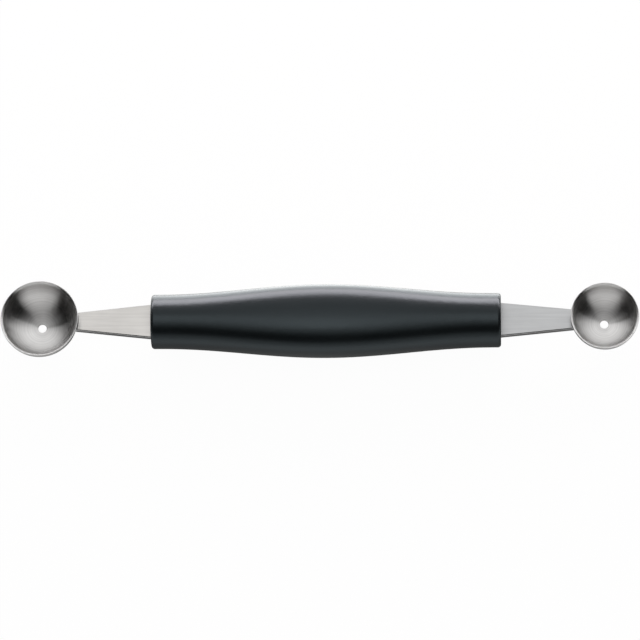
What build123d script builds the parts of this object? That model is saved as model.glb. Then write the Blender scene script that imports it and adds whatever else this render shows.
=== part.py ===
"""Double-ended melon baller: a moulded handle with a hemispherical scoop at each end.

The tool lies along X, with its large bowl at -X, its small bowl at +X and both bowls open
towards +Z. The origin is on the handle's axis, midway along the tool's overall length.
All sizes are in millimetres.
"""

from build123d import *

import math
import os

# Large bowl, at the -X end
large_bowl_diameter = 25.0
large_bowl_wall = 0.8
large_rim_land = 0.25
large_rim_bevel_depth = 0.6
large_drain_diameter = 2.8

# Small bowl, at the +X end
small_bowl_diameter = 22.0
small_bowl_wall = 0.8
small_rim_land = 0.25
small_rim_bevel_depth = 0.6
small_drain_diameter = 2.8

# Both bowls: height of the rim above the handle's axis, and the bevel round the drain's mouth
rim_height = 4.9
drain_bevel = 0.15

# Handle: plain ovals at its ends swell to a flatter and squarer oval in its middle
handle_length = 112.6
handle_mid_width = 23.7
handle_mid_thickness = 18.4
handle_end_width = 17.6
handle_end_thickness = 16.7
handle_plain_end = 3.0
handle_end_radius = 1.0
handle_squareness_share = 0.2

# Core inside the handle's moulded skin
skin_thickness = 3.2
skin_end_wall = 4.5
core_groove_depth = 1.2
core_groove_width = 5.0
core_rib_count = 7

# Shanks: a flat tapering neck outside the handle, and a tang inside it
large_neck_span = 36.0
small_neck_span = 33.3
large_neck_tip_width = 5.9
small_neck_tip_width = 6.5
neck_root_width = 11.2
shank_thickness = 2.5
neck_edge_radius = 0.4
neck_sunk_length = 2.5
weld_radius = 0.5
tang_gap = 24.0
tang_width = 7.4
tang_corner_radius = 1.5
tang_hole_diameter = 3.4
tang_hole_spacing = 14.0
tang_hole_count = 2

# How far a cutting shape runs past what it cuts
overrun = 1.0

# Numbers of sections that shape a bar which follows the handle's outline, and of points in each
bar_stations = 15
oval_points = 24

# Places along X that follow from the sizes
overall_length = (
    large_bowl_diameter / 2
    + large_neck_span
    + handle_length
    + small_neck_span
    + small_bowl_diameter / 2
)
large_bowl_x = -overall_length / 2 + large_bowl_diameter / 2
small_bowl_x = overall_length / 2 - small_bowl_diameter / 2
handle_x = large_bowl_x + large_neck_span + handle_length / 2


def swell(station):
    """Share of the handle's swell at a distance from its middle: 1 there, 0 at its plain ends."""
    reach = handle_length / 2 - handle_plain_end
    run = min(abs(station) / reach, 1)
    return (1 + math.cos(math.pi * run)) / 2


def oval(half_width, half_thickness, squareness):
    """Face of an oval: an ellipse at squareness 0, and fuller between its axes at more than 0."""
    exponent = 2 * (1 + squareness)
    points = []
    for index in range(oval_points):
        turn = 2 * math.pi * index / oval_points
        across = math.cos(turn)
        up = math.sin(turn)
        norm = (abs(across) ** exponent + abs(up) ** exponent) ** (1 / exponent)
        points.append((half_width * across / norm, half_thickness * up / norm))
    steps = [index / oval_points for index in range(oval_points + 1)]
    return make_face([Edge.make_spline(points, periodic=True, parameters=steps)])


def oval_bar(inset, length):
    """Solid bar about the handle's middle, everywhere the same inset from the handle's outline."""
    sections = []
    for index in range(bar_stations):
        station = length * (index / (bar_stations - 1) - 1 / 2)
        share = swell(station)
        width = handle_end_width + (handle_mid_width - handle_end_width) * share
        thickness = handle_end_thickness + (handle_mid_thickness - handle_end_thickness) * share
        plane = Plane(origin=(station, 0, 0), x_dir=(0, 1, 0), z_dir=(1, 0, 0))
        squareness = handle_squareness_share * share
        sections.append(plane * oval(width / 2 - inset, thickness / 2 - inset, squareness))
    return loft(sections)


def handle_outside():
    """The handle's outer form, with rounded rims at both ends."""
    bar = oval_bar(0, handle_length)
    ends = bar.faces().filter_by(Axis.X)
    return fillet(ends.edges(), handle_end_radius)


def core_blank():
    """The core's outer form: ribs all round it, with grooves between that the skin fills."""
    length = handle_length - 2 * skin_end_wall
    ribs = oval_bar(skin_thickness, length)
    waist = oval_bar(skin_thickness + core_groove_depth, length)
    pitch = length / core_rib_count
    grooves = [
        Pos((index - core_rib_count / 2) * pitch, 0, 0)
        * Box(core_groove_width, 2 * handle_mid_width, 2 * handle_mid_thickness)
        for index in range(1, core_rib_count)
    ]
    return ribs - [groove - waist for groove in grooves]


def arc_about_centre(start, end):
    """Arc about the sketch's origin between two points that lie equally far from it."""
    middle = (Vector(*start) + Vector(*end)).normalized() * Vector(*start).length
    return ThreePointArc(start, middle, end)


def bowl(diameter, wall, land, bevel_depth, drain_diameter):
    """Hemispherical cup about Z with its rim at z = 0, an inward bevel and a drain hole."""
    outer = diameter / 2
    inner = outer - wall
    drain = drain_diameter / 2
    mouth = drain + drain_bevel
    bevel_foot = (math.sqrt(inner**2 - bevel_depth**2), -bevel_depth)
    mouth_edge = (mouth, -math.sqrt(inner**2 - mouth**2))
    drain_top = (drain, mouth_edge[1] - drain_bevel)
    drain_foot = (drain, -math.sqrt(outer**2 - drain**2))
    outside = arc_about_centre(drain_foot, (outer, 0))
    rim = Polyline((outer, 0), (outer - land, 0), bevel_foot)
    inside = arc_about_centre(bevel_foot, mouth_edge)
    hole_wall = Polyline(mouth_edge, drain_top, drain_foot)
    profile = Plane.XZ * make_face([outside, rim, inside, hole_wall])
    return revolve(profile, Axis.Z)


def shank(bowl_diameter, span, tip_width):
    """Flat shank along +X from a bowl about x = 0 to a handle whose end is at x = span."""
    ball = Pos(0, 0, rim_height) * Sphere(bowl_diameter / 2)
    contact = math.sqrt((bowl_diameter / 2) ** 2 - rim_height**2)
    taper = (neck_root_width - tip_width) / (span - contact) / 2
    start = contact / 2
    start_half_width = tip_width / 2 - taper * (contact - start)
    root = span + neck_sunk_length
    root_half_width = neck_root_width / 2 + taper * neck_sunk_length
    outline = Polyline(
        (start, -start_half_width),
        (root, -root_half_width),
        (root, root_half_width),
        (start, start_half_width),
        close=True,
    )
    neck = extrude(make_face(outline), shank_thickness / 2, both=True)
    long_edges = [
        edge
        for edge in neck.edges().filter_by(Plane.XY)
        if abs(edge.tangent_at(0).X) > abs(edge.tangent_at(0).Y)
    ]
    neck = fillet(long_edges, neck_edge_radius)
    joined = neck + ball
    seam = new_edges(neck, ball, combined=joined)
    welded = fillet(seam, weld_radius) - ball
    return welded + tang(root, span + handle_length / 2 - tang_gap / 2)


def tang(root, tip):
    """The shank's tang between two places along X, with holes that the core's plastic fills."""
    start = root - overrun
    blank = Pos((start + tip) / 2, 0, 0) * Box(tip - start, tang_width, shank_thickness)
    tip_edges = blank.edges().filter_by(Axis.Z).sort_by(Axis.X)[-2:]
    blank = fillet(tip_edges, tang_corner_radius)
    for index in range(tang_hole_count):
        hole_x = tip - tang_hole_spacing * (index + 1 / 2)
        blank -= Pos(hole_x, 0, 0) * Cylinder(tang_hole_diameter / 2, shank_thickness + overrun)
    return blank


def export(name, shape):
    """Writes one piece of the tool to its own file."""
    export_step(shape, f"parts/{name}.step")


os.makedirs("parts", exist_ok=True)

large_bowl = Pos(large_bowl_x, 0, rim_height) * bowl(
    large_bowl_diameter,
    large_bowl_wall,
    large_rim_land,
    large_rim_bevel_depth,
    large_drain_diameter,
)
small_bowl = Pos(small_bowl_x, 0, rim_height) * bowl(
    small_bowl_diameter,
    small_bowl_wall,
    small_rim_land,
    small_rim_bevel_depth,
    small_drain_diameter,
)
large_shank = Pos(large_bowl_x, 0, 0) * shank(
    large_bowl_diameter, large_neck_span, large_neck_tip_width
)
small_shank = (
    Pos(small_bowl_x, 0, 0)
    * Rot(0, 0, 180)
    * shank(small_bowl_diameter, small_neck_span, small_neck_tip_width)
)
core_form = Pos(handle_x, 0, 0) * core_blank()
handle_core = core_form - large_shank - small_shank
handle_skin = Pos(handle_x, 0, 0) * handle_outside() - core_form - large_shank - small_shank

export("large_bowl", large_bowl)
export("small_bowl", small_bowl)
export("large_shank", large_shank)
export("small_shank", small_shank)
export("handle_core", handle_core)
export("handle_skin", handle_skin)
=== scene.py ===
"""Double-ended melon baller, finished as it lay under studio light.

Everything is in metres in the part's own frame: the tool lies along X with its large bowl at -X,
+Y is away from the camera and +Z is up out of the bowls' mouths. Around the tool, east is +X and
north is +Y.
"""

import math

import bmesh
import bpy
from mathutils import Matrix, Vector


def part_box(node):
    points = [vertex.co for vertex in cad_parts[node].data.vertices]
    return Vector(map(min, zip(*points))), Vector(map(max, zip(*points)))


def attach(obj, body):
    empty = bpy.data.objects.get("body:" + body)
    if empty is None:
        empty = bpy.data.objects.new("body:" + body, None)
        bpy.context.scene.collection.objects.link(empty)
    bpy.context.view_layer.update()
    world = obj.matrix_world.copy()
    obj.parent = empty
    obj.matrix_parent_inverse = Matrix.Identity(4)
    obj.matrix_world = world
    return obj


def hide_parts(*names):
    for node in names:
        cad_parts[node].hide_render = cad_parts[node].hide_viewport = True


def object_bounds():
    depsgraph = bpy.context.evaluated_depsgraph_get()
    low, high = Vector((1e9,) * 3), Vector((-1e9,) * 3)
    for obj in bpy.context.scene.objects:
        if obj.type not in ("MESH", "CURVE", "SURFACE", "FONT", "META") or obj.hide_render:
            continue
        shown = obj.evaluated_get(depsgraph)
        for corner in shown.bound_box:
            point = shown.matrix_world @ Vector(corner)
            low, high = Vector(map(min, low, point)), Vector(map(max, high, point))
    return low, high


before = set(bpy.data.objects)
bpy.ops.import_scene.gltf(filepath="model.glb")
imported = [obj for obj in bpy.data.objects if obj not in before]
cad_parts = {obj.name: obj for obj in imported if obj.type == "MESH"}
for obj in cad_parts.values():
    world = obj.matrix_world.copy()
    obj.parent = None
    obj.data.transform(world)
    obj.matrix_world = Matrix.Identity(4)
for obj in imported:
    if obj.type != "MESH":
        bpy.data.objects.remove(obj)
cad_box = [list(corner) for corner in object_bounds()]

mm = 0.001

# Bowls, both made alike: the sizes that their boxes don't give
bowl_wall = 0.8 * mm
rim_land = 0.25 * mm
rim_bevel_depth = 0.6 * mm
rim_edge_radius = 0.12 * mm
drain_radius = 1.4 * mm
drain_bevel = 0.15 * mm
drain_edge_radius = 0.04 * mm
bowl_sides = 160
bowl_arc_steps = 40
edge_steps = 3

# Surface detail, as wide and deep as it needs to be to show
ring_pitch = 0.6 * mm
ring_depth = 0.01 * mm
smudge_size = 7 * mm
grain_width = 0.5 * mm
grain_stretch = 30
grain_depth = 0.004 * mm
pebble_pitch = 0.5 * mm
pebble_depth = 0.008 * mm
core_pebble_pitch = 0.8 * mm
core_pebble_depth = 0.03 * mm
cloud_size = 9 * mm
cloud_stretch = 4

# Noise: the finer detail of an even and of a broken one, and where nearly all of it lies
even_detail = 2.0
broken_detail = 3.0
noise_low = 0.3
noise_high = 0.7

# Finishes: a pair holds the two ends that a colour or a roughness runs between
turned_colours = ("#CCCBCA", "#D8D7D6")
turned_roughness = (0.275, 0.29)
turned_anisotropy = 0.8
ground_colours = ("#CACACA", "#D4D4D4")
ground_roughness = (0.29, 0.35)
skin_colours = ("#0A0D0E", "#0D1011")
skin_roughness = (0.28, 0.32)
core_colours = ("#262729", "#303133")
core_roughness = (0.45, 0.55)
plastic_ior = 1.5
plastic_sheen = "#E4F7FF"
paper_colour = "#E6E6E6"
felt_colour = "#0A0A0A"
white = "#FFFFFF"
black = "#000000"

# Camera of the picture, which looks down on the tool from its near side
picture_pixels = 640
focal_pixels = 4821.1
sensor_width = 36 * mm
camera_distance = 1554 * mm
camera_elevation = math.radians(73.27)
camera_roll = math.radians(0.297)
tool_tilt = math.radians(2.05)
origin_pixel_x = 319.67
origin_pixel_y = 321.18
clip_factor = 10

# Studio: a white table that curves up all round, and a black tent over it and the lamps
table_radius = 2600 * mm
table_wall_height = 420 * mm
table_curve_radius = 300 * mm
table_curve_steps = 12
table_sides = 96
table_glow_share = 0.97
tent_radius = 2500 * mm
tent_foot = math.radians(2)
tent_arc_steps = 16
tent_sides = 64
room_light = 0.3

# Painted shadow: a dark card along the tool's near side, seen only in reflections, for its shade
card_start = 4.5 * mm
card_near = 7 * mm
card_far = 45 * mm
card_lift = 0.2 * mm
card_clear_share = 0.1

# Lamps, with the west ends of each bowl's lamps and its side lamp's inset in degrees
lamp_distance = 700 * mm
lamp_layer_gap = 8 * mm
soft_edge_shares = (0.8, 1.0, 1.2)
bowl_lamps_west = (-38, -54)
bowl_side_inset = 20
shank_radiances = (1.12, 0.9)
shank_lamp_colours = ("#FFFCF8", "#FDFEFF")
handle_back_colour = "#FFF1F3"
bounce_distance = 100 * mm
bounce_lift = 1 * mm
bounce_size = (140 * mm, 160 * mm)

# How near two points lie to count as one, on the tool and in the studio
tool_weld = 0.001 * mm
studio_weld = 0.1 * mm


def linear(code):
    """An sRGB hex colour as linear red, green, blue and alpha."""
    parts = []
    for index in (1, 3, 5):
        value = int(code[index:index + 2], 16) / 255
        parts.append(value / 12.92 if value <= 0.04045 else ((value + 0.055) / 1.055) ** 2.4)
    return (*parts, 1.0)


def add_node(tree, kind, settings=None, links=None):
    """Adds one node, with settings for its own properties or its sockets, and links into it."""
    node = tree.nodes.new(kind)
    for name, value in (settings or {}).items():
        if isinstance(name, str) and hasattr(node, name):
            setattr(node, name, value)
        else:
            node.inputs[name].default_value = value
    for name, source in (links or {}).items():
        tree.links.new(source, node.inputs[name])
    return node


def new_material(name):
    """An empty material and its node tree."""
    material = bpy.data.materials.new(name)
    material.use_nodes = True
    material.node_tree.nodes.clear()
    return material, material.node_tree


def noise(tree, vector, size, detail, stretch=(1, 1, 1)):
    """Noise of a real size, longer along the axes whose stretch is more than 1."""
    scale = [1 / (size * times) for times in stretch]
    mapping = add_node(tree, "ShaderNodeMapping", {"Scale": scale}, {"Vector": vector})
    texture = add_node(
        tree,
        "ShaderNodeTexNoise",
        {"Scale": 1.0, "Detail": detail},
        {"Vector": mapping.outputs["Vector"]},
    )
    return texture.outputs["Fac"]


def spread(tree, value, low, high):
    """Maps the middle part of a noise, where nearly all of it lies, on to a range."""
    scaled = add_node(
        tree,
        "ShaderNodeMapRange",
        {"From Min": noise_low, "From Max": noise_high, "To Min": low, "To Max": high},
        {"Value": value},
    )
    return scaled.outputs["Result"]


def tinted(tree, value, dark, light):
    """Colour between two sRGB codes that follows a noise.

    A Mix node's sockets share their names, so its factor, its colours and its result go by number.
    """
    mix = add_node(
        tree,
        "ShaderNodeMix",
        {"data_type": "RGBA", 6: linear(dark), 7: linear(light)},
        {0: spread(tree, value, 0, 1)},
    )
    return mix.outputs[2]


def turned_steel(radius):
    """Stainless steel turned on a lathe: a bright bow-tie sheen that runs across fine rings.

    The rings have their pitch on a bowl of the radius given. They are coarser than the tool marks
    of a real bowl, which are too fine for the picture. Large faint smudges vary how sharp the
    sheen is, as fingers leave them.
    """
    material, tree = new_material("stainless_steel_turned")
    tangent = add_node(tree, "ShaderNodeTangent", {"direction_type": "UV_MAP", "uv_map": "turning"})
    turning = add_node(tree, "ShaderNodeUVMap", {"uv_map": "turning"})
    across = add_node(tree, "ShaderNodeSeparateXYZ", links={"Vector": turning.outputs["UV"]})
    rings = add_node(
        tree,
        "ShaderNodeTexNoise",
        {"noise_dimensions": "1D", "Scale": radius / ring_pitch, "Detail": even_detail},
        {"W": across.outputs["Y"]},
    ).outputs["Fac"]
    place = add_node(tree, "ShaderNodeTexCoord").outputs["Object"]
    smudges = noise(tree, place, smudge_size, broken_detail)
    relief = add_node(tree, "ShaderNodeBump", {"Distance": ring_depth}, {"Height": rings})
    surface = add_node(
        tree,
        "ShaderNodeBsdfAnisotropic",
        {"distribution": "BECKMANN", "Anisotropy": turned_anisotropy},
        {
            "Color": tinted(tree, rings, *turned_colours),
            "Roughness": spread(tree, smudges, *turned_roughness),
            "Normal": relief.outputs["Normal"],
            "Tangent": tangent.outputs["Tangent"],
        },
    )
    add_node(tree, "ShaderNodeOutputMaterial", links={"Surface": surface.outputs["BSDF"]})
    return material


def ground_steel():
    """Stainless steel ground flat: an even satin grey with a faint grain along the shanks.

    The grain is coarser than a grinding belt leaves, so that a trace of it shows in the picture.
    """
    material, tree = new_material("stainless_steel_ground")
    place = add_node(tree, "ShaderNodeTexCoord").outputs["Object"]
    grain = noise(tree, place, grain_width, broken_detail, (grain_stretch, 1, 1))
    smudges = noise(tree, place, smudge_size, broken_detail)
    relief = add_node(tree, "ShaderNodeBump", {"Distance": grain_depth}, {"Height": grain})
    surface = add_node(
        tree,
        "ShaderNodeBsdfPrincipled",
        {"Metallic": 1.0},
        {
            "Base Color": tinted(tree, grain, *ground_colours),
            "Roughness": spread(tree, smudges, *ground_roughness),
            "Normal": relief.outputs["Normal"],
        },
    )
    add_node(tree, "ShaderNodeOutputMaterial", links={"Surface": surface.outputs["BSDF"]})
    return material


def moulded_plastic(name, colours, roughness, pitch, depth):
    """Thermoplastic as moulded: a fine even pebble, with soft cloudy changes of gloss.

    The pebble is coarser than the spark-eroded finish of a real mould, which the picture is too
    small to show. The clouds run along the tool, and the sheen is a little blue.
    """
    material, tree = new_material(name)
    place = add_node(tree, "ShaderNodeTexCoord").outputs["Object"]
    pebble = noise(tree, place, pitch, even_detail)
    clouds = noise(tree, place, cloud_size, broken_detail, (cloud_stretch, 1, 1))
    relief = add_node(tree, "ShaderNodeBump", {"Distance": depth}, {"Height": pebble})
    surface = add_node(
        tree,
        "ShaderNodeBsdfPrincipled",
        {"IOR": plastic_ior, "Specular Tint": linear(plastic_sheen)},
        {
            "Base Color": tinted(tree, clouds, *colours),
            "Roughness": spread(tree, clouds, *roughness),
            "Normal": relief.outputs["Normal"],
        },
    )
    add_node(tree, "ShaderNodeOutputMaterial", links={"Surface": surface.outputs["BSDF"]})
    return material


def new_piece(name, mesh, material):
    """An object at the origin, made from a bmesh, which it uses up."""
    data = bpy.data.meshes.new(name)
    mesh.to_mesh(data)
    mesh.free()
    data.materials.append(material)
    piece = bpy.data.objects.new(name, data)
    bpy.context.scene.collection.objects.link(piece)
    return piece


def revolve(mesh, sides, weld):
    """Spins all of a bmesh round Z, and merges what meets at its poles."""
    bmesh.ops.spin(
        mesh,
        geom=mesh.verts[:] + mesh.edges[:],
        cent=(0, 0, 0),
        axis=(0, 0, 1),
        angle=math.tau,
        steps=sides,
        use_merge=True,
    )
    bmesh.ops.remove_doubles(mesh, verts=mesh.verts, dist=weld)


def circle_edges(mesh, radius, height):
    """The edges of the circle about Z at one radius and height."""
    on_circle = {
        vert
        for vert in mesh.verts
        if math.hypot(vert.co.xy.length - radius, vert.co.z - height) < tool_weld
    }
    return [edge for edge in mesh.edges if on_circle.issuperset(edge.verts)]


def map_turning(mesh, outer):
    """Lays a UV map on a bowl about the origin: U runs round it, and V from its pole up.

    U counts turns and V radians. The distance from the centre is added to V, so that the rings
    go on across the rim and through the drain hole.
    """
    turning = mesh.loops.layers.uv.new("turning")
    for face in mesh.faces:
        middle = face.calc_center_median()
        towards = math.atan2(middle.y, middle.x)
        for loop in face.loops:
            spot = loop.vert.co
            azimuth = math.atan2(spot.y, spot.x)
            azimuth += math.tau * round((towards - azimuth) / math.tau)
            rise = math.atan2(spot.xy.length, -spot.z)
            loop[turning].uv = (azimuth / math.tau, rise + spot.length / outer)


def bowl_profile(mesh, outer):
    """Draws half of a bowl's section in the XZ plane.

    Returns its sharp corners, each as a radius and a height, under the radius that rounds them.
    """
    inner = outer - bowl_wall
    mouth = drain_radius + drain_bevel
    mouth_z = -math.sqrt(inner**2 - mouth**2)
    foot = (math.sqrt(inner**2 - rim_bevel_depth**2), -rim_bevel_depth)
    drain_foot_z = -math.sqrt(outer**2 - drain_radius**2)

    def arc(vert, sweep):
        turned = bmesh.ops.spin(
            mesh, geom=[vert], cent=(0, 0, 0), axis=(0, 1, 0), angle=sweep, steps=bowl_arc_steps
        )
        return turned["geom_last"][0]

    def line(vert, radius, height):
        made = bmesh.ops.extrude_vert_indiv(mesh, verts=[vert])["verts"][0]
        made.co = (radius, 0, height)
        return made

    start = mesh.verts.new((mouth, 0, mouth_z))
    end = arc(start, math.atan2(mouth_z, mouth) - math.atan2(foot[1], foot[0]))
    end = line(end, outer - rim_land, 0)
    end = line(end, outer, 0)
    end = arc(end, math.atan2(-drain_foot_z, drain_radius))
    end = line(end, drain_radius, mouth_z - drain_bevel)
    mesh.edges.new((end, start))
    return {
        rim_edge_radius: [foot, (outer - rim_land, 0), (outer, 0)],
        drain_edge_radius: [
            (mouth, mouth_z),
            (drain_radius, mouth_z - drain_bevel),
            (drain_radius, drain_foot_z),
        ],
    }


def bowl_radius(node):
    """Outer radius of a bowl, from the box of its CAD node."""
    low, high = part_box(node)
    return (high.x - low.x) / 2


def bowl(node, name, material):
    """Hemispherical bowl with a bevelled rim and a drain hole, turned about its own axis."""
    low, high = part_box(node)
    outer = bowl_radius(node)
    mesh = bmesh.new()
    corners = bowl_profile(mesh, outer)
    revolve(mesh, bowl_sides, tool_weld)
    for radius, circles in corners.items():
        edges = [edge for circle in circles for edge in circle_edges(mesh, *circle)]
        bmesh.ops.bevel(
            mesh,
            geom=edges,
            offset=radius,
            segments=edge_steps,
            profile=0.5,
            affect="EDGES",
            material=-1,
        )
    bmesh.ops.recalc_face_normals(mesh, faces=mesh.faces)
    for face in mesh.faces:
        face.smooth = True
    map_turning(mesh, outer)
    centre = Vector(((low.x + high.x) / 2, 0, high.z))
    bmesh.ops.translate(mesh, verts=mesh.verts, vec=centre)
    piece = new_piece(name, mesh, material)
    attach(piece, "root")
    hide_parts(node)
    return piece


def area_lamp(name, lit, centre, back, size, radiance, colour=white):
    """Rectangle of light that shines away from back and lights some pieces only.

    Its watts are its radiance times pi times its area.
    """
    lamp = bpy.data.lights.new(name, "AREA")
    lamp.color = linear(colour)[:3]
    lamp.shape = "RECTANGLE"
    lamp.size, lamp.size_y = size
    lamp.energy = radiance * math.pi * lamp.size * lamp.size_y
    level = Vector((1, 0, 0))
    turn = Matrix((level, back.cross(level), back)).transposed().to_4x4()
    holder = bpy.data.objects.new(name, lamp)
    holder.matrix_world = Matrix.Translation(centre) @ turn
    holder.visible_camera = False
    holder.light_linking.receiver_collection = lit
    bpy.context.scene.collection.objects.link(holder)


def group(name, pieces):
    """A collection of pieces that a lamp lights."""
    collection = bpy.data.collections.new(name)
    for piece in pieces:
        collection.objects.link(piece)
    return collection


def soft_box(name, lit, across, rise, radiance, x=0, colour=white):
    """Soft box that lights some pieces only, as if flags round it kept its light off the others.

    Seen from the place x along the tool, across gives its west and east ends and rise its south
    and north ends, in degrees from straight up. A radiance of 1 is as bright as white paper in
    full light.

    It's some boxes in one, each a little behind the last, so that its edges are soft.
    """
    south, north = (math.radians(end) for end in rise)
    middle = (south + north) / 2
    height = 2 * lamp_distance * math.tan((north - south) / 2)
    back = Vector((0, math.sin(middle), math.cos(middle)))
    west, east = (lamp_distance * math.tan(math.radians(end)) for end in across)
    sideways = Vector((x + (west + east) / 2, 0, 0))
    for index, share in enumerate(soft_edge_shares):
        centre = back * (lamp_distance + index * lamp_layer_gap) + sideways
        size = ((east - west) * share, height * share)
        area_lamp(name, lit, centre, back, size, radiance / len(soft_edge_shares), colour)


def split_rays(tree, shown, other):
    """One shader for the eye, for reflections and through glass, and another for all else."""
    path = add_node(tree, "ShaderNodeLightPath")
    seen = path.outputs["Is Camera Ray"]
    for name in ("Is Glossy Ray", "Is Transmission Ray"):
        both = add_node(
            tree, "ShaderNodeMath", {"operation": "MAXIMUM"}, {0: seen, 1: path.outputs[name]}
        )
        seen = both.outputs["Value"]
    return add_node(tree, "ShaderNodeMixShader", links={0: seen, 1: other, 2: shown})


def table_paper():
    """Matt white paper, mostly self-lit to the eye, so that it's white and keeps a faint shadow.

    Its underside is clear, for views from below.
    """
    material, tree = new_material("matt_white_paper")
    matt = add_node(tree, "ShaderNodeBsdfDiffuse", {"Color": linear(paper_colour)})
    glow = add_node(tree, "ShaderNodeEmission", {"Color": linear(white), "Strength": 1.0})
    blend = add_node(
        tree,
        "ShaderNodeMixShader",
        {0: table_glow_share},
        {1: matt.outputs["BSDF"], 2: glow.outputs["Emission"]},
    )
    paper = split_rays(tree, blend.outputs["Shader"], matt.outputs["BSDF"])
    clear = add_node(tree, "ShaderNodeBsdfTransparent")
    side = add_node(tree, "ShaderNodeNewGeometry")
    surface = add_node(
        tree,
        "ShaderNodeMixShader",
        links={0: side.outputs["Backfacing"], 1: paper.outputs["Shader"], 2: clear.outputs["BSDF"]},
    )
    add_node(tree, "ShaderNodeOutputMaterial", links={"Surface": surface.outputs["Shader"]})
    return material


def table():
    """Round white table under the tool, which curves up into a low wall all round."""
    mesh = bmesh.new()
    middle = mesh.verts.new((0, 0, 0))
    flat = bmesh.ops.extrude_vert_indiv(mesh, verts=[middle])["verts"][0]
    flat.co.x = table_radius - table_curve_radius
    curve = bmesh.ops.spin(
        mesh,
        geom=[flat],
        cent=(flat.co.x, 0, table_curve_radius),
        axis=(0, 1, 0),
        angle=-math.pi / 2,
        steps=table_curve_steps,
    )["geom_last"][0]
    wall = bmesh.ops.extrude_vert_indiv(mesh, verts=[curve])["verts"][0]
    wall.co.z = table_wall_height
    revolve(mesh, table_sides, studio_weld)
    bmesh.ops.recalc_face_normals(mesh, faces=mesh.faces)
    # An open shell can come out either way round, and the table has to face up
    if min(mesh.faces, key=lambda face: face.calc_center_median().length).normal.z < 0:
        bmesh.ops.reverse_faces(mesh, faces=mesh.faces)
    bmesh.ops.translate(mesh, verts=mesh.verts, vec=(0, 0, cad_box[0][2]))
    piece = new_piece("table", mesh, table_paper())
    return piece


def keep_to_reflections(piece):
    """Hides a piece of the studio from all but reflections."""
    piece.visible_camera = False
    piece.visible_diffuse = False
    piece.visible_transmission = False
    piece.visible_shadow = False


def tent():
    """Black tent over the table, seen only in reflections: it darkens what no lamp lights."""
    material, tree = new_material("black_felt")
    matt = add_node(tree, "ShaderNodeBsdfDiffuse", {"Color": linear(felt_colour)})
    add_node(tree, "ShaderNodeOutputMaterial", links={"Surface": matt.outputs["BSDF"]})
    mesh = bmesh.new()
    foot = (tent_radius * math.cos(tent_foot), 0, tent_radius * math.sin(tent_foot))
    bmesh.ops.spin(
        mesh,
        geom=[mesh.verts.new(foot)],
        cent=(0, 0, 0),
        axis=(0, 1, 0),
        angle=tent_foot - math.pi / 2,
        steps=tent_arc_steps,
    )
    revolve(mesh, tent_sides, studio_weld)
    piece = new_piece("tent", mesh, material)
    keep_to_reflections(piece)


def shadow_card(west, east):
    """Painted shadow: a dark card on the table along the tool's near side, seen only in
    reflections.

    It paints the shade that the tool casts on the table beside it, which the tool's sides mirror.
    The card begins where the handle's underside has risen clear of it, at card_start. Up to
    card_near it lets card_clear_share of the view through, and from there it fades to nothing at
    card_far.
    """
    # This material is painted shadow: the tool's shade on the table as its sides mirror it, no real
    # card
    material, tree = new_material("painted_shadow_faded")
    place = add_node(tree, "ShaderNodeTexCoord").outputs["Object"]
    axes = add_node(tree, "ShaderNodeSeparateXYZ", links={"Vector": place})
    fade = add_node(
        tree,
        "ShaderNodeMapRange",
        {
            "From Min": -card_near,
            "From Max": -card_far,
            "To Min": card_clear_share,
            "To Max": 1.0,
        },
        {"Value": axes.outputs["Y"]},
    )
    dark = add_node(tree, "ShaderNodeEmission", {"Color": linear(black)})
    clear = add_node(tree, "ShaderNodeBsdfTransparent")
    surface = add_node(
        tree,
        "ShaderNodeMixShader",
        links={0: fade.outputs["Result"], 1: dark.outputs["Emission"], 2: clear.outputs["BSDF"]},
    )
    add_node(tree, "ShaderNodeOutputMaterial", links={"Surface": surface.outputs["Shader"]})
    mesh = bmesh.new()
    height = cad_box[0][2] + card_lift
    corners = [
        (west, -card_start, height),
        (west, -card_far, height),
        (east, -card_far, height),
        (east, -card_start, height),
    ]
    mesh.faces.new([mesh.verts.new(corner) for corner in corners])
    piece = new_piece("shadow_card", mesh, material)
    keep_to_reflections(piece)


def room():
    """White surroundings to the eye and in reflections, and a dim room for the rest."""
    world = bpy.data.worlds.new("room")
    bpy.context.scene.world = world
    world.use_nodes = True
    tree = world.node_tree
    tree.nodes.clear()
    bright = add_node(tree, "ShaderNodeBackground", {"Color": linear(white), "Strength": 1.0})
    dim = add_node(tree, "ShaderNodeBackground", {"Color": linear(white), "Strength": room_light})
    around = split_rays(tree, bright.outputs["Background"], dim.outputs["Background"])
    add_node(tree, "ShaderNodeOutputWorld", links={"Surface": around.outputs["Shader"]})


def camera():
    """The picture's camera.

    In the picture the tool's large bowl lies a little lower than its small one. The part stays
    level, so the camera is tilted instead.
    """
    tilt = Matrix.Rotation(tool_tilt, 3, "Y")
    back = tilt @ Vector((0, -math.cos(camera_elevation), math.sin(camera_elevation)))
    level = tilt @ Vector((1, 0, 0))
    rise = back.cross(level)
    right = level * math.cos(camera_roll) + rise * math.sin(camera_roll)
    up = rise * math.cos(camera_roll) - level * math.sin(camera_roll)
    pixel = camera_distance / focal_pixels
    middle = picture_pixels / 2
    aim = right * (middle - origin_pixel_x) * pixel + up * (origin_pixel_y - middle) * pixel
    data = bpy.data.cameras.new("camera")
    data.sensor_width = sensor_width / mm
    data.lens = focal_pixels / picture_pixels * data.sensor_width
    data.clip_start = camera_distance / clip_factor
    data.clip_end = camera_distance * clip_factor
    holder = bpy.data.objects.new("camera", data)
    turn = Matrix((right, up, back)).transposed().to_4x4()
    holder.matrix_world = Matrix.Translation(aim + back * camera_distance) @ turn
    bpy.context.scene.collection.objects.link(holder)
    bpy.context.scene.camera = holder


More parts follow.
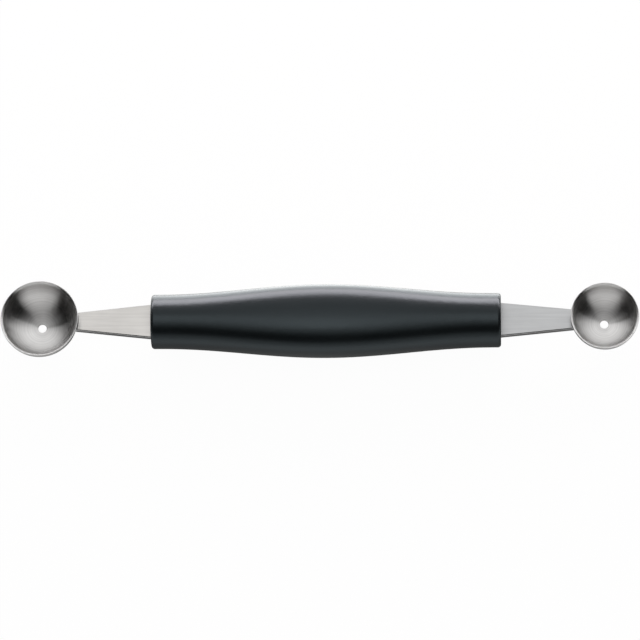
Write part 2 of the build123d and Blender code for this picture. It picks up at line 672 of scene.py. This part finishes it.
def lights(bowls, shanks, handle):
    """The lamps. Each kind of piece has its own, seen in its surface as in the picture.

    A bowl has a bank of soft boxes over it from north to south, and mirrors the dark tent west and
    east of them. The handle's lamps light the table too, where the tool then leaves a faint
    shadow. The bounce lies on the table, and lights the handle as the white paper there would.
    """
    for piece, west in zip(bowls, bowl_lamps_west):
        lit = group(piece.name, [piece])
        x = sum(corner[0] for corner in piece.bound_box) / len(piece.bound_box)
        inset = west + bowl_side_inset
        soft_box("bowl_back", lit, across=(west, 52), rise=(52, 68), radiance=2.4, x=x)
        soft_box("bowl_high", lit, across=(west, 63), rise=(38, 52), radiance=2.25, x=x)
        soft_box("bowl_top", lit, across=(west, 63), rise=(19, 38), radiance=1.5, x=x)
        soft_box("bowl_side", lit, across=(inset, 58), rise=(5, 19), radiance=0.85, x=x)
        soft_box("bowl_middle", lit, across=(-13, 15), rise=(-12, 5), radiance=0.15, x=x)
        soft_box("bowl_front", lit, across=(-38, 44), rise=(-54, -38), radiance=0.35, x=x)
        soft_box("bowl_low_front", lit, across=(-40, 46), rise=(-72, -54), radiance=1.9, x=x)
    for piece, radiance, colour in zip(shanks, shank_radiances, shank_lamp_colours):
        lit = group(piece.name, [piece])
        for name, across, rise in (
            ("shank_top", (-30, 30), (-10, 40)),
            ("shank_back", (-45, 45), (46, 88)),
        ):
            soft_box(name, lit, across, rise, radiance, colour=colour)
    lit = group("handle", handle)
    soft_box("handle_top", lit, across=(-35, 35), rise=(-28, 50), radiance=0.65)
    soft_box("handle_sheen", lit, across=(-9, 5), rise=(-13, 13), radiance=1.6)
    soft_box(
        "handle_back", lit, across=(-48, 48), rise=(60, 90), radiance=9.0, colour=handle_back_colour
    )
    soft_box("handle_front", lit, across=(-48, 48), rise=(-90, -66), radiance=0.6)
    bounce = Vector((0, bounce_distance, cad_box[0][2] + bounce_lift))
    area_lamp("handle_bounce", lit, bounce, Vector((0, 0, -1)), bounce_size, radiance=3.4)


bpy.context.scene.view_settings.view_transform = "Standard"
camera()
room()
white_table = table()
tent()
shadow_card(cad_box[0][0], cad_box[1][0])

bowl_nodes = ("large_bowl", "small_bowl")
bowl_steel = turned_steel(sum(map(bowl_radius, bowl_nodes)) / len(bowl_nodes))
shank_steel = ground_steel()
handle_plastic = moulded_plastic(
    "polypropylene_black_satin", skin_colours, skin_roughness, pebble_pitch, pebble_depth
)
core_plastic = moulded_plastic(
    "polyamide_grey_moulded", core_colours, core_roughness, core_pebble_pitch, core_pebble_depth
)

bowls = [bowl(node, f"{node}_turned", bowl_steel) for node in bowl_nodes]
for node, material in (
    ("large_shank", shank_steel),
    ("small_shank", shank_steel),
    ("handle_core", core_plastic),
    ("handle_skin", handle_plastic),
):
    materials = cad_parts[node].data.materials
    materials.clear()
    materials.append(material)
shanks = [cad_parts[node] for node in ("large_shank", "small_shank")]
lights(bowls, shanks, [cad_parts["handle_skin"], white_table])
